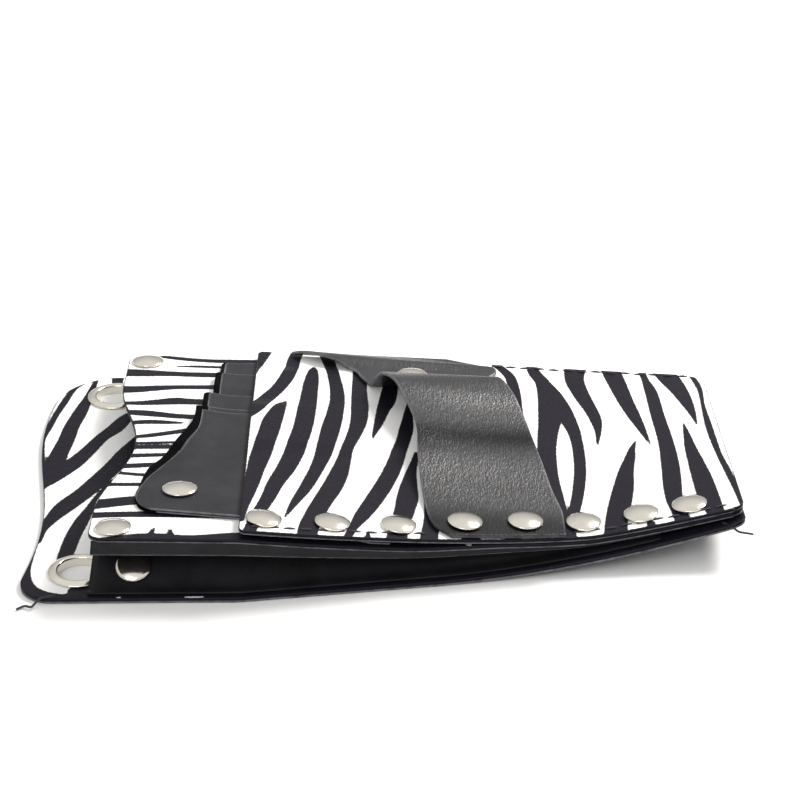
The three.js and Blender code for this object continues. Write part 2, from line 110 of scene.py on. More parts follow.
WAIST_HEIGHT = 13.2
MOUTH_RISE = 13.3
TIP_RISE = 7.6
MOUTH_NEAR_HEIGHT = 22.8
MOUTH_FAR_HEIGHT = 11.7
FAR_HEIGHT = 14.5


def mix(a, b, t):
    return a + (b - a) * t


def ramp(a, b, x):
    return np.clip((np.asarray(x, float) - a) / (b - a), 0, 1)


def smooth(a, b, x):
    t = ramp(a, b, x)
    return t * t * (3 - 2 * t)


# ---- the surfaces that the leather follows ---------------------------------------------
def half_width(x):
    return mix(MOUTH_HALF_WIDTH, TIP_HALF_WIDTH, ramp(FRONT_MOUTH_X, TIP_X, x))


def front_half_width(x):
    return half_width(x) - FRONT_INSET


def across(x, y):
    """0 at the near edge of the back panel, 1 at the far edge."""
    return (y / half_width(x) + 1) / 2


def back_under(x, y):
    """The back panel lies flat, then curls up towards the tip, most on the near side."""
    return mix(CURL_NEAR, CURL_FAR, across(x, y)) * ramp(CURL_START_X, TIP_X, x) ** 1.8


def back_top(x, y):
    return back_under(x, y) + BACK_STACK


def ply_presence(x):
    """1 where the slot plies lie under the front panel, falling to 0 towards the tip."""
    return 1 - smooth(PLY_END_X + 2, PLY_FADE_X, x)


def front_near_height(x):
    """Height of the front panel's near edge, lowest at the waist."""
    towards_mouth = MOUTH_RISE * ramp(WAIST_X, FRONT_MOUTH_X, x) ** 1.6
    towards_tip = TIP_RISE * ramp(WAIST_X, TIP_X, x) ** 1.3
    return WAIST_HEIGHT + towards_mouth + towards_tip


def mid_top(x, y):
    x = np.asarray(x, float)
    beyond = np.maximum(0, FRONT_MOUTH_X - x)
    under = PANEL_STACK + GAP
    present = ply_presence(x)
    near = np.where(beyond > 0, MOUTH_NEAR_HEIGHT + 0.02 * beyond,
                    front_near_height(x) - under - 2 * PLY_PITCH * present)
    far = np.where(beyond > 0, MOUTH_FAR_HEIGHT + 0.03 * beyond,
                   FAR_HEIGHT - under - PLY_PITCH * present)
    return mix(near, far, across(x, y))


def mid_under(x, y):
    return mid_top(x, y) - PANEL_STACK


def front_top(x, y):
    """The front panel follows the number of slot plies under it at each y."""
    plies = 2 + ramp(-15, -7.7, y) - ramp(23, 30, y) - ramp(57, 63, y)
    return mid_top(x, y) + GAP + PLY_PITCH * plies * ply_presence(x) + PANEL_STACK


def strap_rest(x, y):
    return front_top(x, y) + GAP + STRAP


# ---- outlines --------------------------------------------------------------------------
def corner_setback(distance, radius):
    """How far a round corner steps back at this distance from the side."""
    short = radius - np.clip(distance, 0, radius)
    return radius - np.sqrt(np.maximum(0, radius ** 2 - short ** 2))


def setback(y, half, near, far):
    return corner_setback(half + y, near) + corner_setback(half - y, far)


def flap_end(y):
    """The belt flap's edge is an S-curve with round corners, as x for each y."""
    wave = FLAP_WAVE * np.sin(math.pi * y / FLAP_WAVE_HALF_LENGTH)
    return FLAP_X - wave + setback(y, MOUTH_HALF_WIDTH, 14, 20)


def mid_mouth(y):
    """The mid panel's mouth is scooped in its middle."""
    angle = math.pi / 2 * np.minimum(1, np.abs(y - SCOOP_Y) / SCOOP_HALF_WIDTH)
    corner = setback(y, MOUTH_HALF_WIDTH - FRONT_INSET, 5, 5)
    return MID_MOUTH_X + SCOOP_DEPTH * np.cos(angle) ** 2 + corner


def front_mouth(y):
    return FRONT_MOUTH_X + setback(y, MOUTH_HALF_WIDTH - FRONT_INSET, 2.5, 2.5)


def back_tip(y):
    return TIP_X - setback(y, TIP_HALF_WIDTH, 4, 7)


def front_tip(y):
    return TIP_X - 0.6 - setback(y, TIP_HALF_WIDTH - FRONT_INSET, 4, 7)


# ---- mesh helpers ----------------------------------------------------------------------
def catmull_rom(points, steps):
    """A smooth line through points, with steps samples in each span."""
    points = np.asarray(points, float)
    padded = np.vstack([2 * points[0] - points[1], points, 2 * points[-1] - points[-2]])
    t = np.linspace(0, 1, steps, endpoint=False)[:, None]
    spans = []
    for a, b, c, d in zip(padded, padded[1:], padded[2:], padded[3:]):
        spans.append(0.5 * (2 * b + (c - a) * t + (2 * a - 5 * b + 4 * c - d) * t ** 2
                            + (3 * b - a - 3 * c + d) * t ** 3))
    spans.append(points[-1:])
    return np.vstack(spans)


def mesh_object(name, vertices_mm, faces, material):
    mesh = bpy.data.meshes.new(name)
    mesh.from_pydata((np.asarray(vertices_mm) * MM).tolist(), [], faces)
    mesh.validate()
    mesh.materials.append(material)
    mesh.shade_smooth()
    piece = bpy.data.objects.new(name, mesh)
    bpy.context.scene.collection.objects.link(piece)
    return piece


def grid_faces(columns, rows, offset=0, flip=False):
    """Four-sided faces over a grid of points stored column by column."""
    i, j = np.meshgrid(np.arange(columns), np.arange(rows), indexing="ij")
    a = (i * (rows + 1) + j).ravel() + offset
    corners = np.stack([a, a + rows + 1, a + rows + 2, a + 1], axis=1)
    return (corners[:, ::-1] if flip else corners).tolist()


def rim_loop(columns, rows):
    """Grid indices round the border, anticlockwise seen from above."""
    near = [i * (rows + 1) for i in range(columns + 1)]
    tip = [columns * (rows + 1) + j for j in range(1, rows + 1)]
    far = [i * (rows + 1) + rows for i in range(columns - 1, -1, -1)]
    mouth = list(range(rows - 1, 0, -1))
    return near + tip + far + mouth


EDGE_ROUNDING = 0.45


def slab(name, x, y, top, thickness, rim_distance, material):
    """A sheet of leather with rounded edges from grids of x, y and upper height.

    rim_distance is each point's distance from the cut edge.
    """
    columns, rows = x.shape[0] - 1, x.shape[1] - 1
    round_off = min(EDGE_ROUNDING, thickness / 2)
    short = round_off - np.clip(rim_distance, 0, round_off)
    drop = round_off - np.sqrt(np.maximum(0, round_off ** 2 - short ** 2))
    upper = np.stack([x, y, top - drop], axis=-1).reshape(-1, 3)
    lower = np.stack([x, y, top - thickness + drop], axis=-1).reshape(-1, 3)
    count = len(upper)
    faces = grid_faces(columns, rows) + grid_faces(columns, rows, count, flip=True)
    loop = rim_loop(columns, rows)
    for a, b in zip(loop, loop[1:] + loop[:1]):
        faces.append([b, a, a + count, b + count])
    piece = mesh_object(name, np.vstack([upper, lower]), faces, material)
    store(piece, "rim_distance", np.tile(rim_distance.ravel(), 2))
    return piece


def store(piece, name, values):
    """Keeps one number per vertex under this name, for the piece's material to read."""
    attributes = piece.data.attributes
    attribute = attributes.get(name) or attributes.new(name, "FLOAT", "POINT")
    attribute.data.foreach_set("value", np.asarray(values, np.float32))


def sheet_grid(start, end, low, high, columns, rows):
    """Grids of x, y and distance from the outline for a sheet between four edges."""
    rim = np.array([0, 0.12, 0.3, 0.6])
    length = abs(float(end(0.0)) - float(start(0.0)))
    inner = np.linspace(1.2 / length, 1 - 1.2 / length, columns - 2 * len(rim) + 1)
    s = np.concatenate([rim / length, inner, 1 - rim[::-1] / length])
    t = (1 - np.cos(math.pi * np.linspace(0, 1, rows + 1))) / 2
    x_start = float(start(0.0))
    x_end = float(end(0.0))
    y_start = mix(low(x_start), high(x_start), t)
    y_end = mix(low(x_end), high(x_end), t)
    x = mix(start(y_start)[None, :], end(y_end)[None, :], s[:, None])
    y = mix(low(x), high(x), t[None, :])

    def off_end(edge, sign):
        step = 0.02
        slope = (edge(y + step) - edge(y - step)) / (2 * step)
        return sign * (x - edge(y)) / np.sqrt(1 + slope ** 2)

    distance = np.minimum.reduce([y - low(x), high(x) - y, off_end(start, 1), off_end(end, -1)])
    border = np.zeros_like(distance, bool)
    border[[0, -1], :] = True
    border[:, [0, -1]] = True
    distance = np.where(border, 0, np.maximum(distance, 0))
    return x, y, distance


# ---- zebra print -----------------------------------------------------------------------
# Each stroke is a line of [x, y, half width]; the print is black inside any stroke.
FRONT_STROKES = [
    [(-43, 79, 2.6), (-44, 71, 1.9), (-45.3, 62, 1.2), (-46, 54, 0.4)],
    [(-30, 79, 2.3), (-31.7, 70, 2.4), (-32.5, 60, 2.5), (-34.2, 50, 2.7), (-37, 40, 2.6),
     (-41, 30, 2.8), (-44.5, 20, 3.0), (-47, 12, 1.5)],
    [(-33.6, 28, 0.2), (-35.6, 22, 2.2), (-37.8, 10, 3.4), (-38.8, 0, 3.5), (-40, -10, 3.5),
     (-41.2, -20, 3.4), (-42.2, -30, 2.9), (-43.2, -40, 2.7), (-44.2, -50, 2.3),
     (-45.5, -60, 2.0), (-46, -70, 1.5)],
    [(-24, 62.5, 0.2), (-24.2, 57, 1.7), (-24.6, 48, 2.6), (-25.2, 35, 3.0), (-25.8, 20, 3.3),
     (-26.8, 5, 3.4), (-29, -12, 3.4), (-31.8, -27, 3.2), (-35.1, -40, 2.7),
     (-37.3, -52, 2.3), (-40.5, -66, 1.9), (-42.2, -77, 2.0)],
    [(-21, 79, 2.3), (-18.8, 70, 2.3), (-17.2, 60, 2.2), (-15.7, 48, 2.3), (-14.7, 35, 2.6),
     (-15.2, 20, 2.9), (-16.8, 5, 3.3), (-18.8, -12, 2.9), (-21.5, -27, 2.3), (-25, -42, 2.0),
     (-28.5, -54, 1.2), (-31, -64, 0.2)],
    [(-6.3, 60, 2.5), (-6.4, 50, 2.6), (-6.5, 38, 2.8), (-6.3, 25, 3.1), (-6.7, 12, 2.9),
     (-8.6, 0, 2.4), (-10.8, -10, 2.1), (-12.2, -20, 2.6), (-13.8, -30, 3.2), (-16, -40, 3.4),
     (-18.8, -50, 3.2), (-21.2, -60, 3.2), (-23.1, -70, 3.2), (-23.6, -80, 3.2)],
    [(5.5, 48, 2.5), (4.6, 38, 2.9), (3.6, 30, 2.9), (1.9, 20, 2.1), (0.3, 10, 1.4),
     (-1.2, 2, 0.5), (-1.6, -1, 0.1)],
    [(12.5, 30, 1.2), (11.4, 18, 1.7), (10.6, 8, 2.4), (9.2, -2, 2.4), (7.2, -12, 2.6),
     (4.8, -24, 2.9), (1.6, -36, 3.0), (-1.8, -47, 2.9), (-5.2, -57, 2.5), (-8.5, -67, 1.4),
     (-11, -77, 1.2)],
    [(14, -10, 0.8), (12, -22, 1.6), (10.9, -32, 2.7), (10.2, -42, 3.6), (8.9, -52, 3.3),
     (7.2, -62, 3.3), (6, -72, 3.3), (5.6, -80, 3.3)],
    [(19, -40, 3), (18.5, -55, 2.8), (17.2, -66, 2.8), (16.3, -78, 3)],
    [(-3.4, -68, 0.2), (-3.5, -77, 1.5)],
    [(33, 60, 3), (31, 30, 3.2), (30, 0, 3.4), (29, -30, 3.2), (30, -55, 3), (32, -76, 3)],
    [(42, 40, 2.4), (43, 10, 3.2), (42, -20, 3.4), (44, -50, 3), (46, -72, 2.6)],
    [(45, 67, 1.5), (48.3, 61, 1.7), (51, 54, 1.9), (52, 42, 2.0), (52.2, 30, 1.8),
     (52, 15, 1.8), (50, 0, 1.5)],
    [(59.5, 66, 1.8), (60.5, 58, 2.3), (63, 50, 2.7), (63.8, 40, 3.2), (63.8, 28, 3.8),
     (63.3, 18, 3.9), (62, 8, 3.5), (61, -2, 3.3), (60.4, -12, 3.4), (60, -24, 3.7),
     (60.5, -36, 3.9), (62.2, -46, 2.9), (63.5, -55, 3), (64, -70, 3)],
    [(63, 50, 2.7), (66.3, 40, 3.1), (68.4, 30, 3.4), (70.4, 20, 2.9), (71.8, 11, 2.3),
     (72.3, 2, 2.0), (72.3, -6, 2.0), (71.7, -18, 2.0), (70.2, -30, 2.0), (68.5, -40, 1.9),
     (66.8, -48, 2.0), (65, -58, 2.2)],
    [(76.8, 64, 4.3), (75.6, 56, 3.7), (75.5, 49, 3.4), (77.2, 38, 2.9), (79.3, 28, 2.4),
     (80.6, 19, 2.0), (80.6, 10, 1.0), (79.4, 0, 0.15)],
    [(89.5, 62, 3.6), (90.6, 53, 3.5), (91.8, 43, 3.2), (93, 33, 2.8), (94.7, 22, 2.3),
     (96.6, 10, 1.3), (98.2, -1, 0.2)],
    [(93.4, 2, 0.15), (91.5, -4, 1.0), (90.2, -10, 1.7), (87.7, -20, 2.6), (85.9, -30, 3.4),
     (83.9, -40, 3.8), (81.7, -50, 3.7), (80.3, -60, 3.8), (79.8, -70, 3.9)],
    [(92.4, -57, 1.3), (92.4, -66, 1.6)],
    [(101.5, 60, 1.2), (102.2, 51, 1.3), (103.2, 40, 2.2), (103.5, 20, 2.4), (104, 0, 2.6),
     (103.6, -16, 3.0), (102.7, -30, 3.1), (102, -42, 2.8), (102.6, -52, 2.5),
     (103.6, -64, 2.8)],
    [(110, 57, 4.0), (111.8, 50, 4.0), (114, 40, 3.1), (115.4, 30, 2.2), (116.4, 20, 1.0),
     (116.6, 12, 0.2)],
    [(112, 13, 0.15), (112.1, 4, 1.1), (112.1, -6, 1.9), (112.6, -18, 2.7), (113.1, -30, 3.3),
     (113.4, -42, 3.5), (114, -52, 3.1), (115, -64, 2.3)],
    [(119.6, 56, 0.6), (121.2, 48, 1.0), (121.7, 40, 0.8), (121.1, 28, 0.6), (120.8, 12, 1.1),
     (120.9, 0, 1.1), (121.2, -12, 0.9), (122.2, -25, 1.0), (123.4, -40, 1.1),
     (124.2, -52, 1.3), (125, -62, 1.5)],
]

MID_STROKES = [
    [(-90, 79, 0.8), (-84, 77, 0.9), (-76, 75, 1.2), (-66, 73.5, 1.3), (-56, 73.3, 1.5),
     (-44, 73.6, 1.4)],
    [(-77, 67.3, 0.1), (-70, 67.5, 0.6), (-62, 67.3, 0.8), (-46, 67, 0.9)],
    [(-97, 60.3, 3.2), (-88, 60.2, 2.8), (-78, 59.9, 1.9), (-68, 59.5, 1.9), (-44, 59.4, 2)],
    [(-97, 44, 2.9), (-90, 44.6, 2.6), (-83, 46, 2.1), (-75, 47.2, 1.5), (-66, 47.6, 1.6),
     (-46, 48.5, 1.9)],
    [(-95, 31.6, 0.9), (-88, 31.8, 1.5), (-81, 33, 2.2), (-75, 34.2, 2.8), (-69, 33.9, 2.3),
     (-46, 33, 1.9)],
    [(-93, 23.4, 1.6), (-86, 22.8, 2.2), (-79, 21.6, 1.9), (-72, 20.4, 1.7), (-50, 19, 1.7)],
    [(-91, 13.8, 1.1), (-84, 15, 1.5), (-77, 14.9, 1.2), (-71, 14.5, 0.3)],
    [(-88, 1.6, 0.9), (-81, 3.5, 1.3), (-75, 5.7, 1.3), (-69, 8, 1.5)],
    [(-88, -3.5, 0.5), (-80, -3, 0.6), (-70, -2.2, 0.7)],
    [(-88, -6.8, 1.5), (-70, -6.2, 1.2)],
    [(-88, -14.2, 1.3), (-70, -12.4, 1.0)],
    [(-89, -22.8, 1.5), (-72, -20.4, 1.4)],
    [(-90, -28.2, 0.8), (-84, -29.3, 0.8), (-74, -30.4, 1.0)],
    [(-93, -37.6, 0.9), (-84, -37.3, 1.0), (-74, -36.8, 1.2)],
    [(-97, -53.5, 3.2), (-90, -51.5, 3), (-84, -50, 3), (-70, -47.5, 3)],
    [(-97, -61.5, 1.8), (-88, -60.5, 1.7), (-75, -60, 1.8), (-60, -60.5, 1.5), (-44, -61, 1.5)],
    [(-97, -80, 1), (-90, -78.5, 1), (-80, -76.8, 2), (-72, -76.8, 2.4), (-62, -78, 2.6),
     (-50, -76.6, 3), (-44, -76, 3)],
    [(-74.5, -70.5, 0.2), (-75.2, -77, 1)],
    [(-69, -71, 0.2), (-68.2, -77, 1.2)],
]

FLAP_STROKES = [
    [(-109.5, 86, 0.5), (-110.2, 76, 0.9), (-111.5, 64, 1.6), (-113.2, 52, 2.6),
     (-115.2, 40, 2.8), (-116, 30, 3.0), (-117.3, 20, 3.2), (-118.5, 10, 3.6),
     (-119.5, 0, 2.6), (-120.5, -8, 0.5)],
    [(-89, 54, 2), (-95, 47, 2.6), (-98.6, 38.5, 3.1), (-103, 31, 2.6), (-107, 21, 2.9),
     (-111, 12, 3.4), (-115.5, 4, 3.2), (-119, -3, 2.0)],
    [(-88, 32, 2.2), (-93, 20, 2.9), (-96, 10, 3.5), (-100.3, 0, 3.6), (-105, -10, 3.6),
     (-110.5, -19.5, 3.7), (-114.3, -28, 2.5), (-116.5, -36, 1.2), (-117.2, -44, 0.9)],
    [(-96, -2, 1), (-100.5, -14, 0.8), (-102, -22, 1.6), (-103.8, -30, 2.4),
     (-105.6, -40, 2.6), (-106.6, -50, 2.6), (-107.5, -58, 2.0)],
    [(-101.7, 86, 2.2), (-101.5, 78, 2.1), (-101, 75, 1.8)],
    [(-113, 78, 0.5), (-117.8, 71, 1.0), (-120.3, 60, 1.3), (-122.2, 50, 1.1), (-123.6, 40, 1.1),
     (-124.9, 30, 0.9), (-124, 20, 0.9), (-122.6, 12, 0.8), (-120.5, 4, 0.8)],
    [(-117.6, -42, 0.5), (-119, -56, 1.3), (-119.8, -64, 2.3), (-118.5, -72, 3.0),
     (-114, -78, 3.2), (-105, -81, 2.9), (-90, -81, 2.9)],
]


def hidden_strokes():
    """Wavy stripes on the part of the back panel that the front covers."""
    strokes = []
    for index in range(15):
        x = -82 + 14 * index
        wave = 3 * math.sin(2.1 * index)
        strokes.append([(x, -84, 3.2), (x + wave, -30, 3.6), (x - wave, 25, 3.4), (x, 84, 2.6)])
    return strokes


def edge_strokes(first, last, half, inset, gaps):
    """Black print along the near edge from first to last, left white at the gaps."""
    strokes = []
    start = first
    for low, high in list(gaps) + [(last, last)]:
        places = np.linspace(start, low, max(2, int((low - start) / 8)))
        strokes.append([(x, inset - float(half(x)), 3.4) for x in places])
        start = high
    return strokes


def print_distance(x, y, strokes):
    """Distance in mm from the black print, negative inside it."""
    points = np.stack([x.ravel(), y.ravel()], axis=1)
    unprinted, reach = 30.0, 8
    nearest = np.full(len(points), unprinted)
    for stroke in strokes:
        line = catmull_rom(stroke, 10)
        low = line[:, :2].min(axis=0) - reach
        high = line[:, :2].max(axis=0) + reach
        close = np.all((points > low) & (points < high), axis=1)
        if not close.any():
            continue
        here = points[close]
        a, b = line[:-1], line[1:]
        along = b[:, :2] - a[:, :2]
        squared = np.maximum((along ** 2).sum(axis=1), 1e-9)
        offset = here[:, None, :] - a[None, :, :2]
        t = np.clip((offset * along).sum(axis=2) / squared, 0, 1)
        gap = offset - t[:, :, None] * along
        distance = np.sqrt((gap ** 2).sum(axis=2)) - mix(a[:, 2], b[:, 2], t)
        nearest[close] = np.minimum(nearest[close], distance.min(axis=1))
    return nearest.reshape(x.shape)


def store_print(piece, upper_distance):
    """Stores the print's distance on the vertices; the cut edge and underside are black."""
    values = np.full(len(piece.data.vertices), -1.0)
    upper = upper_distance.ravel()
    values[:len(upper)] = upper
    store(piece, "print_distance", values)


# ---- materials -------------------------------------------------------------------------
class Nodes:
    """A short way to build a node material."""

    def __init__(self, name):
        self.material = bpy.data.materials.new(name)
        self.material.use_nodes = True
        self.tree = self.material.node_tree
        self.shader = self.tree.nodes["Principled BSDF"]

    def add(self, kind, inputs=(), **settings):
        node = self.tree.nodes.new(kind)
        for key, value in settings.items():
            setattr(node, key, value)
        for key, value in dict(inputs).items():
            self.set(node.inputs[key], value)
        return node

    def set(self, socket, value):
        if isinstance(value, bpy.types.NodeSocket):
            self.tree.links.new(value, socket)
        else:
            socket.default_value = value

    def place(self, stretch=(1, 1, 1)):
        """Object coordinates in millimetres, stretched."""
        coordinates = self.add("ShaderNodeTexCoord").outputs["Object"]
        scale = [value / MM for value in stretch]
        return self.add("ShaderNodeMapping", {"Vector": coordinates, "Scale": scale}).outputs[0]

    def noise(self, place, scale, detail=3, roughness=0.6):
        return self.add("ShaderNodeTexNoise", {
            "Vector": place, "Scale": scale, "Detail": detail, "Roughness": roughness,
        }).outputs["Fac"]

    def cells(self, place, scale):
        return self.add("ShaderNodeTexVoronoi", {"Vector": place, "Scale": scale},
                        feature="SMOOTH_F1").outputs["Distance"]

    def stored(self, name):
        """A number kept on the vertices, 0 on a piece that has none."""
        return self.add("ShaderNodeAttribute", attribute_name=name).outputs["Fac"]

    def math(self, operation, a, b=0.0):
        return self.add("ShaderNodeMath", {0: a, 1: b}, operation=operation).outputs[0]

    def range(self, value, low, high, to_low=0.0, to_high=1.0):
        return self.add("ShaderNodeMapRange", {
            "Value": value, "From Min": low, "From Max": high,
            "To Min": to_low, "To Max": to_high,
        }).outputs[0]

    def blend(self, factor, a, b):
        """Mixes two colours; a Mix node's colour sockets are its seventh, eighth and third."""
        node = self.add("ShaderNodeMix", data_type="RGBA")
        self.set(node.inputs["Factor"], factor)
        self.set(node.inputs[6], a)
        self.set(node.inputs[7], b)
        return node.outputs[2]

    def bump(self, height, distance_mm, strength=1.0):
        node = self.add("ShaderNodeBump", {
            "Height": height, "Distance": distance_mm * MM, "Strength": strength,
        })
        self.set(self.shader.inputs["Normal"], node.outputs[0])


def colour(red, green, blue):
    return (red, green, blue, 1)


def printed_leather():
    """White coated leather, black inside the strokes, with slightly ragged stripe edges."""
    nodes = Nodes("printed_leather")
    place = nodes.place()
    distance = nodes.stored("print_distance")
    ragged = nodes.range(nodes.noise(place, 1.6, 2), 0.3, 0.7, -0.16, 0.16)
    edge = nodes.math("ADD", distance, ragged)
    whiteness = nodes.range(edge, -0.12, 0.12)
    ink = nodes.blend(nodes.noise(place, 0.35, 4), colour(0.004, 0.0035, 0.006),
                      colour(0.013, 0.011, 0.020))
    cream = nodes.blend(nodes.noise(place, 0.08, 3), colour(0.86, 0.86, 0.85),
                        colour(0.93, 0.93, 0.92))
    nodes.set(nodes.shader.inputs["Base Color"], nodes.blend(whiteness, ink, cream))
    rough = nodes.range(nodes.noise(place, 0.6, 3), 0.3, 0.7, 0.38, 0.52)
    nodes.set(nodes.shader.inputs["Roughness"], rough)
    nodes.shader.inputs["Specular IOR Level"].default_value = 0.14
    grain = nodes.math("ADD", nodes.cells(nodes.place((1, 0.6, 1)), 1.1),
                       nodes.math("MULTIPLY", nodes.noise(place, 2.6, 3), 0.5))
    nodes.bump(grain, 0.10, 0.7)
    return nodes.material


def black_leather(name, dark, light, roughness, shine, cell_mm, depth_mm, stretch=(1, 1, 1)):
    """Leather with grain of this size and depth, patchy colour, and a painted highlight
    along its edges.

    Painted shade darkens it, and dulls its sheen, where the piece's shade is above 0.
    """
    nodes = Nodes(name)
    place = nodes.place(stretch)
    patches = nodes.noise(nodes.place(), 0.07, 4)
    cells = nodes.cells(place, 1 / cell_mm)
    rim = nodes.stored("rim_distance")
    # Painted highlight: the colour is lightened near the cut edge, in patches, for light caught by the
    # edges.
    edge_highlight = nodes.math("MULTIPLY", nodes.range(rim, 0.2, 0.75, 1.0, 0.0),
                      nodes.range(nodes.noise(nodes.place(), 0.25, 3), 0.3, 0.6, 0.35, 1.0))
    body = nodes.blend(nodes.range(patches, 0.35, 0.65), dark, light)
    highlighted = nodes.blend(edge_highlight, body, colour(0.15, 0.15, 0.16))
    # Painted shade: near-black colour and little sheen where the piece's shade is above 0.
    shade = nodes.stored("shade")
    nodes.set(nodes.shader.inputs["Base Color"],
              nodes.blend(shade, highlighted, colour(0.0015, 0.0015, 0.002)))
    nodes.set(nodes.shader.inputs["Specular IOR Level"], nodes.range(shade, 0, 1, shine, 0.02))
    wear = nodes.range(cells, 0.1, 0.7, roughness - 0.06, roughness + 0.08)
    nodes.set(nodes.shader.inputs["Roughness"], wear)
    fine = nodes.math("MULTIPLY", nodes.noise(place, 2.2 / cell_mm, 4, 0.65), 0.6)
    creases = nodes.math("MULTIPLY", nodes.noise(place, 0.35 / cell_mm, 2), 1.2)
    height = nodes.math("ADD", nodes.math("SUBTRACT", fine, cells), creases)
    nodes.bump(height, depth_mm, 0.8)
    return nodes.material


def nickel():
    nodes = Nodes("nickel")
    place = nodes.place()
    tone = nodes.blend(nodes.noise(place, 0.3, 3), colour(0.80, 0.75, 0.66),
                       colour(0.90, 0.87, 0.80))
    nodes.set(nodes.shader.inputs["Base Color"], tone)
    nodes.shader.inputs["Metallic"].default_value = 1
    rough = nodes.range(nodes.noise(place, 1.2, 3), 0.3, 0.7, 0.10, 0.19)
    nodes.set(nodes.shader.inputs["Roughness"], rough)
    nodes.bump(nodes.noise(place, 3, 2), 0.01, 0.4)
    return nodes.material


def thread():
    nodes = Nodes("thread")
    twist = nodes.add("ShaderNodeTexWave", {"Vector": nodes.place(), "Scale": 2.4},
                      bands_direction="DIAGONAL").outputs["Fac"]
    nodes.set(nodes.shader.inputs["Base Color"],
              nodes.blend(twist, colour(0.012, 0.012, 0.015), colour(0.045, 0.045, 0.05)))
    nodes.shader.inputs["Roughness"].default_value = 0.7
    nodes.bump(twist, 0.06)
    return nodes.material


PRINT = printed_leather()
LINED = black_leather("black_lining", colour(0.004, 0.004, 0.005), colour(0.011, 0.011, 0.014),
                      0.6, 0.25, 0.5, 0.05)
SMOOTH = black_leather("smooth_leather", colour(0.012, 0.012, 0.015),
                       colour(0.022, 0.022, 0.027), 0.5, 0.32, 0.45, 0.05)
GRAINED = black_leather("grained_leather", colour(0.006, 0.006, 0.008),
                        colour(0.017, 0.017, 0.022), 0.33, 0.8, 0.6, 0.14, (1, 0.35, 1))
NICKEL = nickel()
THREAD = thread()

# ---- the leather panels ----------------------------------------------------------------
EYELET_HOLE_IN_LEATHER = 8.3
EYELET_HOLE_IN_LINING = 10.3


def eyelet_centres():
    for side in ("near", "far"):
        low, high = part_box(side + "_eyelet")
        yield side, (low[0] + high[0]) / 2 / MM, (low[1] + high[1]) / 2 / MM


def cut_round_holes(piece, holes):
    """Cuts upright round holes right through a piece."""
    for x, y, radius in holes:
        bpy.ops.mesh.primitive_cylinder_add(vertices=64, radius=radius * MM, depth=30 * MM,
                                            location=(x * MM, y * MM, 5 * MM))
        cutter = bpy.context.object
        boolean = piece.modifiers.new("hole", "BOOLEAN")
        boolean.operation = "DIFFERENCE"
        boolean.solver = "EXACT"
        boolean.object = cutter
        bpy.context.view_layer.objects.active = piece
        bpy.ops.object.modifier_apply(modifier=boolean.name)
        bpy.data.objects.remove(cutter)


CUT_EDGE = 0.12
INKED_RIM = 0.4


def panel(name, node, body, grid, top, thickness, material, strokes=None, holes=(), spread=0.2):
    """A sheet of leather that stands for a CAD node, printed if it has strokes.

    spread is how far the print runs beyond its strokes.
    """
    x, y, distance = grid
    piece = slab(name, x, y, top(x, y), thickness, distance, material)
    if strokes is not None:
        printed = print_distance(x, y, strokes) - spread
        inked = np.minimum(printed, distance - INKED_RIM)
        store_print(piece, np.where(distance <= CUT_EDGE, -1.0, inked))
    if holes:
        cut_round_holes(piece, holes)
    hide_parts(node)
    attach(piece, body)
    return piece


def build_back():
    outline = (flap_end, back_tip, lambda x: -half_width(x), half_width)
    holes = [(x, y, EYELET_HOLE_IN_LEATHER) for _, x, y in eyelet_centres()]
    # Black along the near edge with two white gaps, a line just inside the gaps, and a
    # wider strip towards the tip.
    margin = edge_strokes(-103, 125, half_width, 0, [(-98.5, -78.5), (-74.5, -54.5)])
    margin += edge_strokes(-100, -53, half_width, 4.6, [])
    margin += edge_strokes(60, 125, half_width, 7, [])
    leather = panel("back_leather", "back_panel", "back", sheet_grid(*outline, 220, 200),
                    back_top, LEATHER, PRINT, FLAP_STROKES + hidden_strokes() + margin, holes)
    holes = [(x, y, EYELET_HOLE_IN_LINING) for _, x, y in eyelet_centres()]
    lining = panel("back_backing", "back_lining", "back", sheet_grid(*outline, 90, 100),
                   lambda x, y: back_under(x, y) + BACK_LINING, BACK_LINING, LINED, None, holes)


def build_front_panels():
    def low(x):
        return -front_half_width(x)

    mid = (mid_mouth, front_tip, low, front_half_width)
    front = (front_mouth, front_tip, low, front_half_width)
    margin = edge_strokes(-42, 124, front_half_width, 0, [(26, 35), (52, 60)])
    leather = panel("mid_leather", "mid_panel", "front", sheet_grid(*mid, 200, 200), mid_top,
                    LEATHER, PRINT, MID_STROKES + margin, spread=0.42)
    leather = panel("front_leather", "front_panel", "front", sheet_grid(*front, 190, 200),
                    front_top, LEATHER, PRINT, FRONT_STROKES)
    backing = panel("mid_backing", "mid_lining", "front", sheet_grid(*mid, 90, 90),
                    lambda x, y: mid_under(x, y) + LINING, LINING, LINED)
    backing = panel("front_backing", "front_lining", "front", sheet_grid(*front, 80, 90),
                    lambda x, y: front_top(x, y) - LEATHER - GAP, LINING, LINED)


# ---- slot plies ------------------------------------------------------------------------
def rise_over_second(y):
    return smooth(-15.5, -7.2, y)


def rise_over_third(y):
    return smooth(18.5, 26.8, y)


def slot_near_edge(x):
    return -59.2 - 0.15 * (x + 77.5)


def swept_mouth(lobe_x, back_x, shift):
    """A rounded lobe on the near side, then a sweep back, as x for each y."""
    line = catmull_rom([
        (lobe_x + 8, -62), (lobe_x + 2.5, -58.5), (lobe_x, -52), (lobe_x + 0.4, -45),
        (lobe_x + 2.5, -36 + shift), (lobe_x + 7, -26 + shift), (back_x - 5, -14 + shift),
        (back_x - 1.5, -3 + shift), (back_x, 6 + shift), (back_x, 24 + shift),
    ], 12)
    return lambda y: np.interp(y, line[:, 1], line[:, 0])


def flat_mouth(x, near, far):
    return lambda y: x + setback(y - (near + far) / 2, (far - near) / 2, 2.0, 2.0)


def slot_low(x):
    return np.maximum(slot_near_edge(x), 1.5 - front_half_width(x))


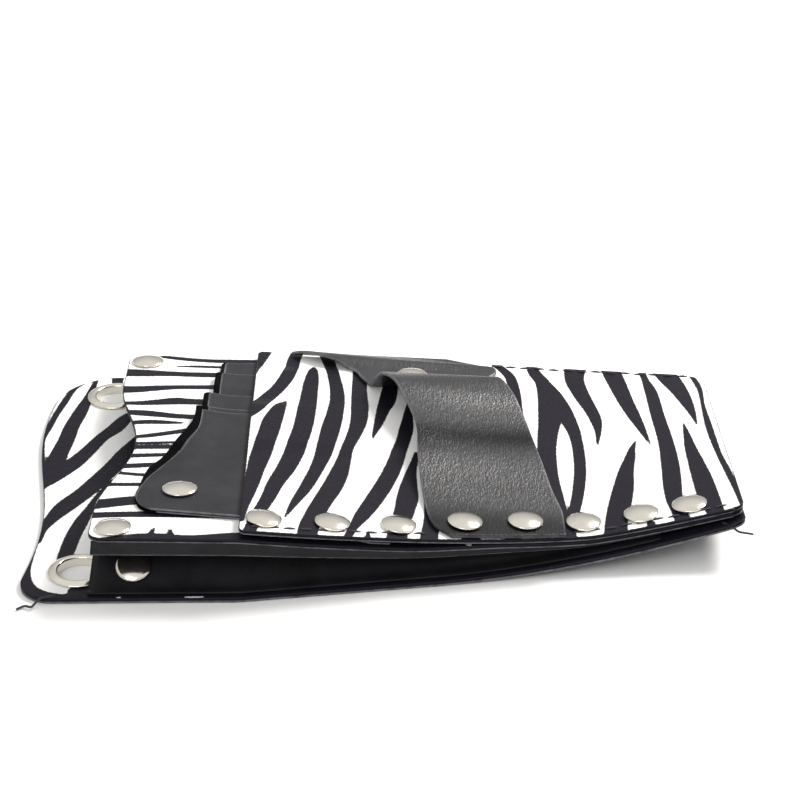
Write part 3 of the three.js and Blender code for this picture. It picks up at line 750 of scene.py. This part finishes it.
def paint_mouth_shade(piece, grid, mouth, strip):
    """Paints shade on a strip just inside the slot's mouth, where the open slot is in shadow, and moves the
    painted edge highlight to the strip's inner side.
    """
    no_highlight = 5
    x, y, distance = grid
    inside = x - mouth(y)
    shade = inside < strip
    rim = np.where(shade, no_highlight, np.minimum(distance, inside - strip))
    store(piece, "shade", np.tile(shade.ravel(), 2))
    store(piece, "rim_distance", np.tile(rim.ravel(), 2))


GAPE = 1.7
GAPE_X = -66
GAPE_REACH = 8.5


def build_plies():
    def gape(x, y):
        """The slots stand a little open at their mouths."""
        held = smooth(-38, -8, y) * (1 - smooth(57, 69, y))
        return GAPE * held * np.exp(-((x - GAPE_X) / GAPE_REACH) ** 2)

    def level_with(value):
        return lambda x, y: mid_top(x, y) + PLY_PITCH * (value(y) + 1) + gape(x, y)

    def fixed(value):
        return lambda x: value + 0 * x

    # Each ply's level, near side, far side, mouth and the width of its strip of painted shade.
    plies = {
        "slot_ply_4": (lambda y: 0 * y, fixed(44), lambda x: np.minimum(70, front_half_width(x) - 2),
                       flat_mouth(-59.8, 44, 70), 1.5),
        "slot_ply_3": (lambda y: smooth(36, 44, y), fixed(27), fixed(56.5),
                       flat_mouth(-61.2, 27, 56.5), 2.2),
        "slot_ply_2": (rise_over_third, fixed(-7), fixed(36), flat_mouth(-64.4, -7, 36), 2.0),
        "slot_backing_ply": (lambda y: rise_over_second(y) + rise_over_third(y),
                             slot_low, fixed(22.5), swept_mouth(-82.6, -66.5, 9), 4.5),
        "slot_ply_1": (lambda y: 1 + rise_over_second(y) + rise_over_third(y),
                       slot_low, fixed(18), swept_mouth(-82.2, -64, 0), 0),
    }
    for node, (level, low, high, mouth, strip) in plies.items():
        grid = sheet_grid(mouth, lambda y: PLY_END_X + 0 * y, low, high, 220, 120)
        piece = panel(node + "_leather", node, "front", grid, level_with(level), PLY, SMOOTH)
        paint_mouth_shade(piece, grid, mouth, strip)


# ---- strap -----------------------------------------------------------------------------
# The strap's two long edges as [x, y, lift off the front panel].
STRAP_LEFT = [
    (24.5, -68, 0), (18.5, -61, 0), (16, -48, 0.4), (14.8, -35, 2.4), (14, -20, 5.6),
    (14, -6, 7.5), (11, 8, 9.3), (6.5, 22, 11.7), (2, 32, 10.5), (-1, 38, 5),
    (-3, 43.5, 0), (-6, 50, 0), (-9, 56.5, 0), (-18, 63, 3), (-27, 69, 2.5), (-33, 73.8, 0),
]
STRAP_RIGHT = [
    (63.2, -63.8, 0), (63.2, -56, 0), (63, -48, 0.2), (60.5, -36, 1.4), (58, -20, 3.4),
    (55.5, -4, 4.6), (53, 10, 6.6), (50, 21, 9.4), (45.5, 31, 10.4), (42, 38, 5),
    (41, 43.5, 0), (42, 50, 0), (45.5, 55, 0), (45, 59.5, 0), (39, 61.5, 0),
    (27, 67, 0),
]


# The distance from the strap's ends is counted as if the strap were this long.
COUNTED_STRAP_LENGTH = 210
CREASE_REACH = 8.5
CREASE_PAINTED_SHADE = 0.78
RIVET_END_PAINTED_SHADE = 0.65


def build_strap():
    """Wavy leather between its two edges, with painted shade at the crease and the rivet end."""
    left = catmull_rom(STRAP_LEFT, 16)
    right = catmull_rom(STRAP_RIGHT, 16)
    rim = np.array([0, 0.004, 0.012, 0.03])
    s = np.concatenate([rim, np.linspace(0.06, 0.94, 56), 1 - rim[::-1]])
    points = left[None, :, :] * (1 - s[:, None, None]) + right[None, :, :] * s[:, None, None]
    x, y, lift = points[..., 0], points[..., 1], np.maximum(0, points[..., 2])
    width = np.linalg.norm(left[:, :2] - right[:, :2], axis=1)
    distance = np.minimum(s, 1 - s)[:, None] * width[None, :]
    ends = np.arange(len(left)) / (len(left) - 1) * COUNTED_STRAP_LENGTH
    distance = np.minimum(distance, np.minimum(ends, ends[::-1])[None, :])
    top = strap_rest(x, y) + lift
    piece = slab("strap_leather", x, y, top, STRAP, distance, GRAINED)
    # Painted shade: a dark band along the crease and towards the rivet end, where the strap lies in shade.
    from_crease = y - 0.12 * x + 12
    crease_shade = CREASE_PAINTED_SHADE * np.exp(-(from_crease / CREASE_REACH) ** 2)
    rivet_end_shade = RIVET_END_PAINTED_SHADE * (1 - smooth(-60, -44, y))
    store(piece, "shade", np.tile(np.maximum(crease_shade, rivet_end_shade).ravel(), 2))
    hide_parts("strap")
    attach(piece, "front")


# ---- gussets ---------------------------------------------------------------------------
GUSSET_START_X = -94.6
GUSSET_END_X = 96.0
GUSSET_LEAN = -2.2
FOLD_WIDTH = 1.4
FOLD_AT_MOUTH = 20.0
FOLD_AT_END = 2.4
FOLD_HEIGHT_SHARE = 0.65
BAND_SHARE = 0.27
ROOF_GAP = 0.75
SPAN_SAMPLES = 6
RIM_PER_SAMPLE = 0.45
LEANING_STATIONS = 12
# Each side's tilt, then the heights where it leaves the back and fully follows the front.
GUSSET_BEND = {"near": (0.04, 7.0, 12.2), "far": (0.01, 6.4, 9.6)}


def gusset_shape(x, side):
    """The fold's depth and height, the hanging band's drop and the foot's width at x."""
    edge = float(front_half_width(x)) - 1
    fold = float(mix(FOLD_AT_MOUTH, FOLD_AT_END, ramp(GUSSET_START_X, GUSSET_END_X, x)))

    def floor(inward):
        return float(back_top(x, side * (edge - inward))) + GAP

    rise = float(mid_under(x, side * edge)) - ROOF_GAP - floor(0)
    drop = BAND_SHARE * rise
    fold_height = floor(fold) + PLY / 2 + FOLD_HEIGHT_SHARE * (rise - drop)
    return edge, fold, fold_height, drop, min(2, 0.4 * fold), floor


def gusset_slope(x, y):
    """Outer face of a gusset's lower half, where its rivet sits."""
    edge, fold, fold_height, _, flange, floor = gusset_shape(x, math.copysign(1, y))
    share = (edge - abs(y) - flange) / (fold - FOLD_WIDTH - flange)
    return mix(floor(flange) + PLY, fold_height, share)


def gusset_path(x, side):
    """Centre line of a gusset's section as [inward, height], from top edge to floor edge."""
    edge, fold, fold_height, drop, flange, floor = gusset_shape(x, side)
    half = PLY / 2
    roof = float(mid_under(x, side * edge)) - GAP
    outer = 1 - FRONT_INSET
    low = floor(flange) + half + 0.03
    return edge, catmull_rom([
        (0.45, roof), (0.4, roof - 0.5 * drop), (0.45, roof - drop),
        (0.3 * fold, mix(roof - drop, fold_height, 0.27)),
        (0.7 * fold, mix(roof - drop, fold_height, 0.72)),
        (fold - 0.6, fold_height + 0.35), (fold - 0.35, fold_height - 0.05),
        (fold - FOLD_WIDTH, fold_height - 0.35),
        (mix(flange, fold, 0.45), mix(low, fold_height - 0.3, 0.47)),
        (flange + 0.3, low + 0.05), (outer, floor(outer) + half),
    ], SPAN_SAMPLES)


def build_gusset(side_name, side):
    """A black side wall: a ring of points round the section at each station along x."""
    stations = np.linspace(GUSSET_START_X, GUSSET_END_X, 90)
    rings = []
    for index, x in enumerate(stations):
        edge, path = gusset_path(x, side)
        along = np.gradient(path, axis=0)
        normal = np.stack([-along[:, 1], along[:, 0]], axis=1)
        normal /= np.linalg.norm(normal, axis=1)[:, None]
        half = PLY / 2 * 0.95
        ring = np.vstack([path + normal * half, (path - normal * half)[::-1]])
        roof, base = path[0, 1], BACK_STACK
        down = np.clip((roof - ring[:, 1]) / (roof - base), 0, 1)
        lean = GUSSET_LEAN * down * max(0, 1 - index / LEANING_STATIONS)
        rings.append(np.stack([x + lean, side * (edge - ring[:, 0]), ring[:, 1]], axis=1))
    count = len(rings[0])
    faces = []
    for i in range(len(rings) - 1):
        for j in range(count):
            a, b = i * count + j, i * count + (j + 1) % count
            face = [a, b, b + count, a + count]
            faces.append(face if side < 0 else face[::-1])
    half_count = count // 2
    last = (len(rings) - 1) * count
    # Painted highlight: rim_distance is small along the hanging band's lower edge, so the leather is painted
    # lighter there.
    from_band_edge = np.abs(np.arange(half_count) - 2 * SPAN_SAMPLES)
    rim = np.concatenate([from_band_edge, from_band_edge[::-1]]) * RIM_PER_SAMPLE
    for j in range(half_count - 1):
        start_cap = [j, count - 1 - j, count - 2 - j, j + 1]
        end_cap = [last + vertex for vertex in start_cap][::-1]
        for face in (start_cap, end_cap):
            faces.append(face if side < 0 else face[::-1])
    piece = mesh_object(side_name + "_gusset_leather", np.vstack(rings), faces, LINED)
    store(piece, "rim_distance", np.tile(rim, len(rings)))
    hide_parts(side_name + "_gusset")
    bend_with_pocket(piece, side_name)


def bend_with_pocket(piece, side_name):
    """The gusset's floor stays on the back panel and its top edge follows the front."""
    tilt, low, high = GUSSET_BEND[side_name]
    scale = MM / (1 + tilt ** 2)
    ends = [(tilt * height * scale, 0, height * scale) for height in (low, high)]
    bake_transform(piece, "back", "front", start=ends[0], end=ends[1])


# ---- fasteners -------------------------------------------------------------------------
def turned(name, profile, segments, material):
    """A smooth turned piece about +Z from [radius, height] points in millimetres."""
    angles = np.arange(segments) / segments * 2 * math.pi
    vertices = []
    rings = []
    for radius, height in profile:
        if radius < 1e-6:
            rings.append([len(vertices)])
            vertices.append((0, 0, height))
            continue
        rings.append(list(range(len(vertices), len(vertices) + segments)))
        vertices += [(radius * math.cos(a), radius * math.sin(a), height) for a in angles]
    faces = []
    for lower, upper in zip(rings, rings[1:]):
        for k in range(segments):
            n = (k + 1) % segments
            if len(lower) == 1:
                faces.append([lower[0], upper[n], upper[k]])
            elif len(upper) == 1:
                faces.append([lower[k], lower[n], upper[0]])
            else:
                faces.append([lower[k], lower[n], upper[n], upper[k]])
    return mesh_object(name, vertices, faces, material)


def surface_turn(x, y, height):
    """The turn that stands a piece square on a surface."""
    step = 3.0
    slope_x = (height(x + step, y) - height(x - step, y)) / (2 * step)
    slope_y = (height(x, y + step) - height(x, y - step)) / (2 * step)
    normal = Vector((-float(slope_x), -float(slope_y), 1)).normalized()
    return Vector((0, 0, 1)).rotation_difference(normal).to_matrix().to_4x4()


def set_on(piece, node, turn):
    """Puts a turned piece where its CAD node is, with their tops level."""
    low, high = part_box(node)
    piece.data.transform(turn)
    top = max(vertex.co.z for vertex in piece.data.vertices)
    shift = Vector(((low[0] + high[0]) / 2, (low[1] + high[1]) / 2, high[2] - top))
    for vertex in piece.data.vertices:
        vertex.co += shift
    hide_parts(node)


def cap_profile(radius, dome):
    """A rivet cap: a rolled rim, a soft dome, and the post below."""
    post, foot, roll, shoulder = 1.4, -3.0, 0.45, 0.86
    rim = [(post, foot), (post, 0.0), (radius - 0.55, 0.0)]
    for step in range(7):
        angle = -math.pi / 2 + step / 6 * math.pi * 0.72
        rim.append((radius - roll + roll * math.cos(angle), roll + roll * math.sin(angle)))
    crown = []
    for step in range(1, 13):
        t = step / 12
        reach = radius * 0.9 * (1 - t)
        rise = shoulder + (dome - shoulder) * (1 - (1 - t) ** 2)
        crown.append((reach, rise))
    return [(0.0, foot)] + rim + crown


RIVET_RADIUS = 6.0
RIVET_DOME = 1.9
RIVET_SURFACES = {
    "slot_rivet": mid_top,
    "near_corner_rivet": mid_top,
    "far_corner_rivet": mid_top,
    "strap_rivet": strap_rest,
    "near_gusset_rivet": gusset_slope,
    "far_gusset_rivet": gusset_slope,
}


def build_rivets():
    """Each rivet is a domed cap on top and a ring underneath, on the leather's slope."""
    names = [name[:-4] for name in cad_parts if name.endswith("_cap")]
    for name in sorted(names):
        surface = RIVET_SURFACES.get(name, front_top)
        low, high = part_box(name + "_cap")
        x, y = (low[0] + high[0]) / 2 / MM, (low[1] + high[1]) / 2 / MM
        turn = surface_turn(x, y, surface)
        cap = turned(name + "_dome", cap_profile(RIVET_RADIUS, RIVET_DOME), 64, NICKEL)
        set_on(cap, name + "_cap", turn)
        ring = turned(name + "_ring", [(1.7, 0), (3.9, 0), (4.2, 0.15), (4.2, 0.45),
                                       (3.9, 0.6), (1.7, 0.6), (1.7, 0)], 48, NICKEL)
        set_on(ring, name + "_washer", turn)
        for piece in (cap, ring):
            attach(piece, "back" if "gusset" in name else "front")


def build_eyelets():
    """A flange that flares up to a round lip, and a barrel down through the leather."""
    flange, hole, wall, lip_radius, rim_height, flare_rise = 10.6, 7.3, 0.7, 1.1, 0.42, 0.75
    base = BACK_STACK + GAP
    shoulder = base + rim_height
    flare = [(flange, base + 0.25), (flange - 0.12, shoulder)]
    for step in range(1, 9):
        t = step / 8
        flare.append((mix(flange - 0.12, hole + lip_radius, t),
                      shoulder + flare_rise * math.sin(t * 1.4)))
    lip = []
    for step in range(1, 9):
        angle = math.pi / 2 * step / 8
        lip.append((hole + lip_radius * (1 - math.sin(angle)),
                    shoulder + 0.74 * math.cos(angle)))
    profile = [(hole, 0), (hole + wall, 0), (hole + wall, base), (flange, base)] + flare + lip
    for side, _, _ in eyelet_centres():
        eyelet = turned(side + "_eyelet_metal", profile + [(hole, 0)], 96, NICKEL)
        set_on(eyelet, side + "_eyelet", Matrix.Identity(4))
        ring = turned(side + "_eyelet_washer", [
            (8.3, 0), (9.8, 0), (10.0, 0.15), (10.0, 0.45), (9.8, 0.6), (8.3, 0.6), (8.3, 0),
        ], 96, NICKEL)
        set_on(ring, side + "_eyelet_ring", Matrix.Identity(4))
        for piece in (eyelet, ring):
            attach(piece, "back")


# ---- stitches --------------------------------------------------------------------------
STITCH = 3.9
STITCH_PITCH = 5.4
SEAM_START_X = -42
SEAM_END_X = 122
NEAR_SEAM_INSET = 3.4
FAR_SEAM_INSET = 2.2


def stitch_row(name, body, edge_y, height, first_x, last_x, skip):
    """Raised stitches along a seam, each a short thread that dips into the leather.

    A stitch is left out where its middle is within reach of an [x, reach] in skip.
    """
    vertices, faces = [], []
    sides, stations, radius = 8, 7, 0.38
    x = first_x
    while x + STITCH < last_x:
        if not any(abs(x + STITCH / 2 - at) < reach for at, reach in skip):
            base = len(vertices)
            for i in range(stations):
                t = i / (stations - 1)
                cx = x + STITCH * t
                cy = edge_y(cx) + 0.25 * math.sin(1.7 * x)
                cz = float(height(cx, cy)) + 0.05 + 0.18 * math.sin(math.pi * t)
                girth = radius * (0.55 + 0.45 * math.sin(math.pi * t))
                for k in range(sides):
                    a = 2 * math.pi * k / sides
                    vertices.append((cx, cy + girth * math.cos(a), cz + girth * math.sin(a)))
            for i in range(stations - 1):
                for k in range(sides):
                    a = base + i * sides + k
                    b = base + i * sides + (k + 1) % sides
                    faces.append([a, b, b + sides, a + sides])
            faces.append([base + k for k in range(sides)][::-1])
            faces.append([base + (stations - 1) * sides + k for k in range(sides)])
        x += STITCH_PITCH
    piece = mesh_object(name, vertices, faces, THREAD)
    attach(piece, body)


def build_stitches():
    """One row along each long edge, left out where the strap covers it."""
    stitch_row("near_seam_stitches", "front",
               lambda x: NEAR_SEAM_INSET - float(front_half_width(x)),
               front_top, SEAM_START_X, SEAM_END_X, [(42, 24)])
    stitch_row("far_seam_stitches", "front",
               lambda x: float(front_half_width(x)) - FAR_SEAM_INSET,
               front_top, SEAM_START_X, SEAM_END_X, [(0, 42)])


def build_loose_threads():
    """Cut thread ends that stick out at the near corners of the flap and the tip."""
    ends = {
        "flap_thread_end": [(-107, -80, 1.0), (-112, -81.6, 0.6), (-114.5, -84.2, -0.8),
                            (-117, -83.2, -1.2), (-119.5, -85, -1.3)],
        "tip_thread_end": [(117, -55.5, 0.2), (120.5, -58.4, -0.4), (122.5, -57.6, -2.2),
                           (125, -59.6, -1.6), (127, -58.6, -2.6)],
    }
    sides, radius = 8, 0.4
    for name, points in ends.items():
        line = catmull_rom(points, 8)
        line[:, 2] += float(back_top(points[0][0], points[0][1]))
        along = np.gradient(line, axis=0)
        along /= np.linalg.norm(along, axis=1)[:, None]
        side = np.cross(along, (0, 0, 1))
        side /= np.linalg.norm(side, axis=1)[:, None]
        up = np.cross(side, along)
        rounds = np.arange(sides) / sides * 2 * math.pi
        rings = [line + radius * (math.cos(a) * side + math.sin(a) * up) for a in rounds]
        vertices = np.stack(rings, axis=1).reshape(-1, 3)
        faces = [list(range(sides))[::-1], list(range(len(vertices) - sides, len(vertices)))]
        for i in range(len(line) - 1):
            for k in range(sides):
                a, b = i * sides + k, i * sides + (k + 1) % sides
                faces.append([a, b, b + sides, a + sides])
        piece = mesh_object(name, vertices, faces, THREAD)
        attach(piece, "back")


build_back()
build_front_panels()
build_plies()
build_strap()
build_gusset("near", -1)
build_gusset("far", 1)
build_rivets()
build_eyelets()
build_stitches()
build_loose_threads()


# ---- stage and light -------------------------------------------------------------------
def build_floor():
    nodes = Nodes("table")
    nodes.shader.inputs["Base Color"].default_value = colour(0.93, 0.93, 0.93)
    nodes.shader.inputs["Roughness"].default_value = 0.7
    nodes.bump(nodes.noise(nodes.place(), 0.2, 2), 0.02, 0.1)
    reach = 4000
    corners = [(-reach, -reach, 0), (reach, -reach, 0), (reach, reach, 0), (-reach, reach, 0)]
    floor = mesh_object("table", corners, [[0, 1, 2, 3]], nodes.material)


def area_light(name, place, aim, size, power, tint=(1, 1, 1)):
    data = bpy.data.lights.new(name, "AREA")
    data.shape = "RECTANGLE"
    data.size, data.size_y = size
    data.energy = power
    data.color = tint
    light = bpy.data.objects.new(name, data)
    bpy.context.scene.collection.objects.link(light)
    light.location = place
    toward = Vector(aim) - Vector(place)
    light.rotation_euler = toward.to_track_quat("-Z", "Y").to_euler()


def build_light():
    """A bright sky overhead that fades towards the horizon, a key light and a fill."""
    world = bpy.data.worlds.new("studio")
    world.use_nodes = True
    bpy.context.scene.world = world
    tree = world.node_tree
    direction = tree.nodes.new("ShaderNodeTexCoord").outputs["Generated"]
    split = tree.nodes.new("ShaderNodeSeparateXYZ")
    tree.links.new(direction, split.inputs[0])
    fade = tree.nodes.new("ShaderNodeValToRGB")
    fade.color_ramp.elements[0].position = 0.1
    fade.color_ramp.elements[0].color = colour(0.5, 0.5, 0.51)
    fade.color_ramp.elements[1].position = 0.75
    fade.color_ramp.elements[1].color = colour(1.0, 0.99, 0.97)
    tree.links.new(split.outputs["Z"], fade.inputs[0])
    background = tree.nodes["Background"]
    tree.links.new(fade.outputs[0], background.inputs["Color"])
    background.inputs["Strength"].default_value = 0.8
    area_light("key", (0.6, 0.42, 0.8), (0, 0, 0), (0.42, 0.34), 14, (1.0, 0.97, 0.93))
    area_light("front_fill", (-0.4, -1.1, 0.9), (0, 0, 0), (0.8, 0.6), 5)
    bpy.context.scene.view_settings.view_transform = "Standard"


build_floor()
build_light()
